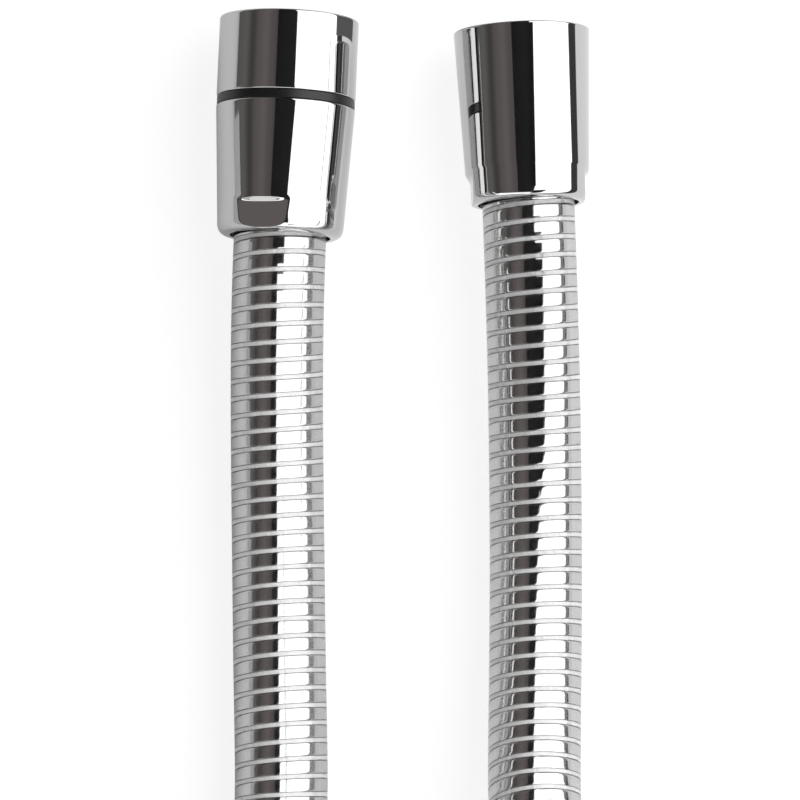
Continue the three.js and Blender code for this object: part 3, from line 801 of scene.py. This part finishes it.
class SHOWERHOSE_OT_swivel_end(bpy.types.Operator):
    """Adds the swivel end: ring, seam, cone and the parts inside them"""
    bl_idname = "shower_hose.swivel_end"
    bl_label = "Swivel end"

    def execute(self, context):
        finishes = context.scene.shower_hose_finishes
        end = Fitting(context, fitting_frames()[0], "glide", ("acetal, moulded, black", finishes.glide))
        ring = eased([
            (MOUTH_RADIUS, 0.0, 0.2), (RING_RADIUS, 0.0, 0.45), (RING_RADIUS, RING_LENGTH, 0.35),
            (SOCKET_RADIUS, RING_LENGTH), (SOCKET_RADIUS, THREAD_DEPTH), (THREAD_RADIUS, THREAD_DEPTH),
            *thread_rows()])
        end.add("chromed_swivel_ring", ring, "ring", "chrome", "swivel_ring", columns=end.columns, threaded=True)
        glide = flat_ring(SOCKET_RADIUS, GLIDE_RADIUS, GLIDE_FRONT, GLIDE_BACK, outer_edge=0.2)
        end.add("acetal_glide_ring", glide, "hose", "glide", "swivel_glide_ring", columns=end.columns)
        flats = SpannerFlats(CONE_BACK_RADIUS, CONE_BACK, SWIVEL_FLAT)
        recess = HOUSING_FLANGE_RADIUS + CLEARANCE
        cone = eased([
            (recess, CONE_FRONT), (RING_RADIUS, CONE_FRONT, 0.35),
            *flat_rows(RING_RADIUS, CONE_FRONT, CONE_BACK_RADIUS, CONE_BACK, flats),
            *back_opening(CONE_BACK_RADIUS, CONE_BACK, CONE_EDGE), (CONE_BORE, HOUSING_FLANGE_BACK + CLEARANCE),
            (recess, HOUSING_FLANGE_BACK + CLEARANCE)])
        end.add("chromed_swivel_cone", cone, "hose", "chrome", "swivel_cone", columns=end.columns, flats=flats)
        end.add("rubber_swivel_washer", washer_outline(), "spindle", "rubber", "swivel_washer")
        seal, wide = SPINDLE_RADIUS - O_RING_SECTION + 0.1, O_RING_SECTION / 2 + 0.1
        grooves = []
        for depth in O_RING_DEPTHS:
            grooves += [(SPINDLE_RADIUS, depth - wide), (seal, depth - wide), (seal, depth + wide),
                        (SPINDLE_RADIUS, depth + wide)]
        slot_front, slot_back = (RETAINER_DEPTH + s * (RETAINER_THICKNESS / 2 + CLEARANCE) for s in (-1, 1))
        slot_floor = SPINDLE_RADIUS - RETAINER_WIDTH / 2
        spindle = eased([
            *FLANGE_CORNERS, (SPINDLE_RADIUS, FLANGE_BACK), (SPINDLE_RADIUS, slot_front), (slot_floor, slot_front),
            (slot_floor, slot_back), (SPINDLE_RADIUS, slot_back), *grooves, (SPINDLE_RADIUS, SPINDLE_BACK, 0.25),
            (WATER_RADIUS, SPINDLE_BACK)], 0.08)
        end.add("brass_swivel_spindle", spindle, "spindle", "brass", "swivel_spindle")
        middle = SPINDLE_RADIUS - O_RING_SECTION / 2 + 0.2
        for i, depth in enumerate(O_RING_DEPTHS, 1):
            end.add(f"rubber_o_ring_{i}", ring_section(middle, depth, O_RING_SECTION / 2), "spindle", "rubber",
                    f"spindle_o_ring_{i}")
        inner = slot_floor + CLEARANCE
        retainer = flat_ring(inner, inner + RETAINER_WIDTH, RETAINER_DEPTH - RETAINER_THICKNESS / 2,
                             RETAINER_DEPTH + RETAINER_THICKNESS / 2, 0.1)
        end.add("steel_split_ring", retainer, "hose", "steel", "swivel_retaining_ring")
        groove = SPINDLE_RADIUS + RETAINER_WIDTH / 2 + 2 * CLEARANCE
        housing = eased([
            (SOCKET_RADIUS, HOUSING_FRONT, 0.3), (HOUSING_FLANGE_RADIUS, HOUSING_FRONT),
            (HOUSING_FLANGE_RADIUS, HOUSING_FLANGE_BACK), (SOCKET_OUTSIDE, HOUSING_FLANGE_BACK),
            (SOCKET_OUTSIDE, HOUSING_BACK, 0.3), (TAIL_RADIUS, HOUSING_BACK),
            *barbs(TAIL_RADIUS, SWIVEL_HOSE_END, SWIVEL_HOSE_END + SWIVEL_TAIL_LENGTH), (WATER_RADIUS, SOCKET_BACK),
            (SOCKET_RADIUS, SOCKET_BACK), (SOCKET_RADIUS, slot_back), (groove, slot_back), (groove, slot_front),
            (SOCKET_RADIUS, slot_front)], 0.08)
        end.add("brass_swivel_tail", housing, "hose", "brass", "swivel_tail")
        ferrule = ferrule_outline(HOUSING_BACK + CLEARANCE, CONE_BACK - LIP_LENGTH - CLEARANCE)
        end.add("steel_swivel_ferrule", ferrule, "hose", "steel", "swivel_ferrule")
        return {"FINISHED"}


class SHOWERHOSE_OT_nut_end(bpy.types.Operator):
    """Adds the plain end: cone nut, washer, tail, slide ring and ferrule"""
    bl_idname = "shower_hose.nut_end"
    bl_label = "Nut end"

    def execute(self, context):
        finishes = context.scene.shower_hose_finishes
        end = Fitting(context, fitting_frames()[1], "slide", ("acetal, moulded, white", finishes.slide))
        flats = SpannerFlats(NUT_BACK_RADIUS, NUT_LENGTH, NUT_FLAT)
        nut = eased([
            (MOUTH_RADIUS, 0.0, 0.2), (NUT_RADIUS, 0.0, 0.45),
            *flat_rows(NUT_RADIUS, 0.0, NUT_BACK_RADIUS, NUT_LENGTH, flats),
            *back_opening(NUT_BACK_RADIUS, NUT_LENGTH, NUT_EDGE), (CONE_BORE, NUT_SHOULDER),
            (THREAD_RADIUS, NUT_SHOULDER), *thread_rows()])
        end.add("chromed_cone_nut", nut, "nut", "chrome", "cone_nut", columns=end.columns, flats=flats, threaded=True)
        end.add("rubber_nut_washer", washer_outline(), "hose", "rubber", "nut_washer")
        tail = eased([
            *FLANGE_CORNERS, (COLLAR_RADIUS, FLANGE_BACK), (COLLAR_RADIUS, COLLAR_BACK), (TAIL_RADIUS, COLLAR_BACK),
            *barbs(TAIL_RADIUS, NUT_HOSE_END, NUT_HOSE_END + NUT_TAIL_LENGTH)], 0.08)
        end.add("brass_nut_tail", tail, "hose", "brass", "nut_tail")
        outer = THREAD_RADIUS - CLEARANCE
        slide = flat_ring(outer - SLIDE_WIDTH, outer, SLIDE_FRONT, SLIDE_BACK, 0.1)
        end.add("acetal_slide_ring", slide, "nut", "slide", "nut_slide_ring")
        ferrule = ferrule_outline(COLLAR_BACK + CLEARANCE, NUT_LENGTH - LIP_LENGTH - CLEARANCE)
        end.add("steel_nut_ferrule", ferrule, "hose", "steel", "nut_ferrule")
        return {"FINISHED"}


class SHOWERHOSE_OT_straps(bpy.types.Operator):
    """Adds the straps that hold the coil"""
    bl_idname = "shower_hose.straps"
    bl_label = "Straps"

    def execute(self, context):
        scene = context.scene
        nylon = woven_nylon(scene.shower_hose_finishes)
        for i, angle in enumerate(STRAP_ANGLES, 1):
            made = strap_loop(f"nylon_strap_{i}", angle, scene.shower_hose_sizes.outside / 2, nylon)
            seat(made, "hose", "strap", f"coil_strap_{i}")
        return {"FINISHED"}


def by_shine(tree, path):
    """1 for a ray that has mirrored off something or passed through it, and 0 for any other."""
    return add_node(tree, "Math", {
        0: path.outputs["Is Glossy Ray"], 1: path.outputs["Is Transmission Ray"]}, operation="MAXIMUM")


def white_board():
    """White board, matt. It fades to white for the lens but keeps the object's shadow, and metal and glass see it as
    a pale strip, with painted light brighter towards the softbox on the right and the dark studio floor beyond its
    right edge."""
    material, tree = new_material("white board, matt")
    path = add_node(tree, "LightPath")
    place = add_node(tree, "TexCoord")
    across = add_node(tree, "SeparateXYZ", {0: place.outputs["Object"]}).outputs["X"]
    matt = add_node(tree, "BsdfDiffuse", {"Color": linear("#F2F2F2")})
    faint = add_node(tree, "BsdfDiffuse", {"Color": linear("#8A8A8A")})
    white, soft_white = (add_node(tree, "Emission", {"Color": linear("#FFFFFF"), "Strength": strength})
                         for strength in (1.0, 0.86))
    dim = add_node(tree, "Emission", {"Color": linear("#4A4846"), "Strength": 1.0})
    to_lens = add_node(tree, "AddShader", {0: soft_white, 1: faint})
    # Painted light, brighter to the right where the softbox stands, and dark past the edge: first place, last place,
    # first share and last share of each.
    painted_light_share, past_edge = (add_node(tree, "MapRange", {
        "Value": across, "From Min": start, "From Max": end, "To Min": low, "To Max": high},
        interpolation_type="SMOOTHSTEP") for start, end, low, high in (
            (-0.03, 0.04, 0.22, 1.0), (BOARD_EDGE - BOARD_BLUR, BOARD_EDGE + BOARD_BLUR, 0.0, 1.0)))
    board = add_node(tree, "MixShader", {0: painted_light_share, 1: matt, 2: white})
    mirrored = add_node(tree, "MixShader", {0: past_edge, 1: board, 2: dim})
    unseen = add_node(tree, "MixShader", {0: by_shine(tree, path), 1: matt, 2: mirrored})
    shown = add_node(tree, "MixShader", {0: path.outputs["Is Camera Ray"], 1: unseen, 2: to_lens})
    add_node(tree, "OutputMaterial", {"Surface": shown})
    return material


def studio_room(level):
    """The room behind the lamps: white to the lens, also through clear PVC, and a dim grey with a few soft bands to
    everything else."""
    world = bpy.data.worlds.new("studio")
    world.use_nodes = True
    tree = world.node_tree
    tree.nodes.clear()
    ray = add_node(tree, "LightPath")
    aim = add_node(tree, "TexCoord")
    parts = add_node(tree, "SeparateXYZ", {0: aim.outputs["Generated"]})
    lean = add_node(tree, "Math", {0: parts.outputs["X"], 1: parts.outputs["Z"]}, operation="ARCTAN2")
    lowest, highest = ROOM_BANDS[0][0], ROOM_BANDS[-1][0]
    share = add_node(tree, "MapRange", {
        "Value": lean, "From Min": math.radians(lowest), "From Max": math.radians(highest)})
    bands = add_node(tree, "ValToRGB", {"Fac": share})
    for angle, code in ROOM_BANDS[1:-1]:
        bands.color_ramp.elements.new((angle - lowest) / (highest - lowest)).color = linear(code)
    bands.color_ramp.elements[0].color = linear(ROOM_BANDS[0][1])
    bands.color_ramp.elements[-1].color = linear(ROOM_BANDS[-1][1])
    bands.color_ramp.interpolation = "EASE"
    walls = add_node(tree, "Background", {"Color": bands.outputs["Color"], "Strength": 1.0})
    dim = add_node(tree, "Background", {"Color": linear("#FFFFFF"), "Strength": level})
    white = add_node(tree, "Background", {"Color": linear("#FFFFFF"), "Strength": 1.0})
    unseen = add_node(tree, "MixShader", {0: by_shine(tree, ray), 1: dim, 2: walls})
    # A ray that has only passed through clear PVC has no glossy bounce behind it, and still sees white.
    unmirrored = add_node(tree, "Math", {0: ray.outputs["Glossy Depth"], 1: 0.5}, operation="LESS_THAN")
    straight = add_node(tree, "Math", {0: ray.outputs["Is Transmission Ray"], 1: unmirrored}, operation="MULTIPLY")
    to_lens = add_node(tree, "Math", {0: ray.outputs["Is Camera Ray"], 1: straight}, operation="MAXIMUM")
    shown = add_node(tree, "MixShader", {0: to_lens, 1: unseen, 2: white})
    add_node(tree, "OutputWorld", {"Surface": shown})
    return world


def softbox(scene, name, side, middle, leans, distance, breadth, level):
    """Adds a rectangular lamp on one side that spans two angles off the vertical."""
    up = Vector((0, 0, 1))
    high, low = (distance * (math.sin(math.radians(a)) * side + math.cos(math.radians(a)) * up) for a in leans)
    lamp = bpy.data.lights.new(name, "AREA")
    lamp.shape = "RECTANGLE"
    lamp.size, lamp.size_y = (high - low).length, breadth
    lamp.energy = level * lamp.size * lamp.size_y * math.pi
    lamp.color = linear("#FFFFFF")[:3]
    made = bpy.data.objects.new(name, lamp)
    scene.collection.objects.link(made)
    made.location = middle + (low + high) / 2
    along = (high - low).normalized()
    back = (low + high) / 2
    back = (back - along * back.dot(along)).normalized()
    made.rotation_euler = Matrix((along, back.cross(along), back)).transposed().to_euler()
    made.visible_camera = False
    return made


def card(name, corners, code, glow=0.0):
    """A flat card that only reflections see: matt, or a lamp's face where it glows."""
    material, tree = new_material(name)
    if glow:
        shader = add_node(tree, "Emission", {"Color": linear(code), "Strength": glow})
    else:
        shader = add_node(tree, "BsdfDiffuse", {"Color": linear(code)})
    add_node(tree, "OutputMaterial", {"Surface": shader})
    made = mesh_object(name, corners, [tuple(range(len(corners)))], material, smooth=False)
    made.visible_camera = made.visible_diffuse = made.visible_shadow = False
    return made


class SHOWERHOSE_OT_stage(bpy.types.Operator):
    """Adds the white floor, the softbox, the flag above and the grey room"""
    bl_idname = "shower_hose.stage"
    bl_label = "Stage"

    def execute(self, context):
        scene = context.scene
        sizes = scene.shower_hose_stage
        corners = [(x * FLOOR_REACH, y * FLOOR_REACH, 0) for x, y in ((-1, -1), (1, -1), (1, 1), (-1, 1))]
        floor = mesh_object("floor", corners, [(0, 1, 2, 3)], white_board(), smooth=False)
        scene.world = studio_room(sizes.room_level)
        middle = Vector((0, sizes.aim_y, 0))
        # The main softbox stands on the right and leans over, down to the edge of the flag above the object.
        softbox(scene, "softbox_right", Vector((1, 0, 0)), middle, (13.3, 87.5), 1.0, 2.0, sizes.softbox_level)
        softbox(scene, "softbox_front", Vector((0, -1, 0)), middle, (56, 86), 0.9, 1.8, sizes.front_level)
        left, right = (math.tan(math.radians(a)) * FLAG_HEIGHT for a in FLAG_ANGLES)
        near, far = FLAG_REACH
        card("flag_above", [(x, y, FLAG_HEIGHT) for x, y in ((left, near), (right, near), (right, far), (left, far))],
             FLAG_GREY)
        for name, lit, outline in LOW_CARDS:
            card(name, [(x, y, LOW_CARD_HEIGHT) for x, y in outline], "#FFFFFF" if lit else FLAG_GREY,
                 sizes.softbox_level if lit else 0.0)
        for name, x, code, outline in UPRIGHT_CARDS:
            card(name, [(x, y, z) for y, z in outline], code)
        return {"FINISHED"}


class SHOWERHOSE_PT_panel(bpy.types.Panel):
    """Lists the pieces of the shower hose in the sidebar"""
    bl_idname = "SHOWERHOSE_PT_panel"
    bl_label = "Shower hose"
    bl_space_type = "VIEW_3D"
    bl_region_type = "UI"
    bl_category = "Shower hose"

    def draw(self, context):
        layout = self.layout
        for operator in OPERATORS:
            layout.operator(operator.bl_idname)
        for key, group in GROUPS.items():
            column = layout.column(align=True)
            for name in group.__annotations__:
                column.prop(getattr(context.scene, key), name)


OPERATORS = (SHOWERHOSE_OT_camera, SHOWERHOSE_OT_hose, SHOWERHOSE_OT_swivel_end, SHOWERHOSE_OT_nut_end,
             SHOWERHOSE_OT_straps, SHOWERHOSE_OT_stage)
GROUPS = {"shower_hose_sizes": HoseSizes, "shower_hose_stage": StageSizes, "shower_hose_finishes": Finishes}
CLASSES = (*GROUPS.values(), *OPERATORS, SHOWERHOSE_PT_panel)


def register():
    for kind in CLASSES:
        bpy.utils.register_class(kind)
    for key, group in GROUPS.items():
        setattr(bpy.types.Scene, key, PointerProperty(type=group))


def unregister():
    for key in GROUPS:
        delattr(bpy.types.Scene, key)
    for kind in reversed(CLASSES):
        bpy.utils.unregister_class(kind)


def main():
    register()
    bpy.context.scene.view_settings.view_transform = "Standard"
    for step in (bpy.ops.shower_hose.camera, bpy.ops.shower_hose.hose, bpy.ops.shower_hose.swivel_end,
                 bpy.ops.shower_hose.nut_end, bpy.ops.shower_hose.straps, bpy.ops.shower_hose.stage):
        step()


if __name__ == "__main__":
    main()
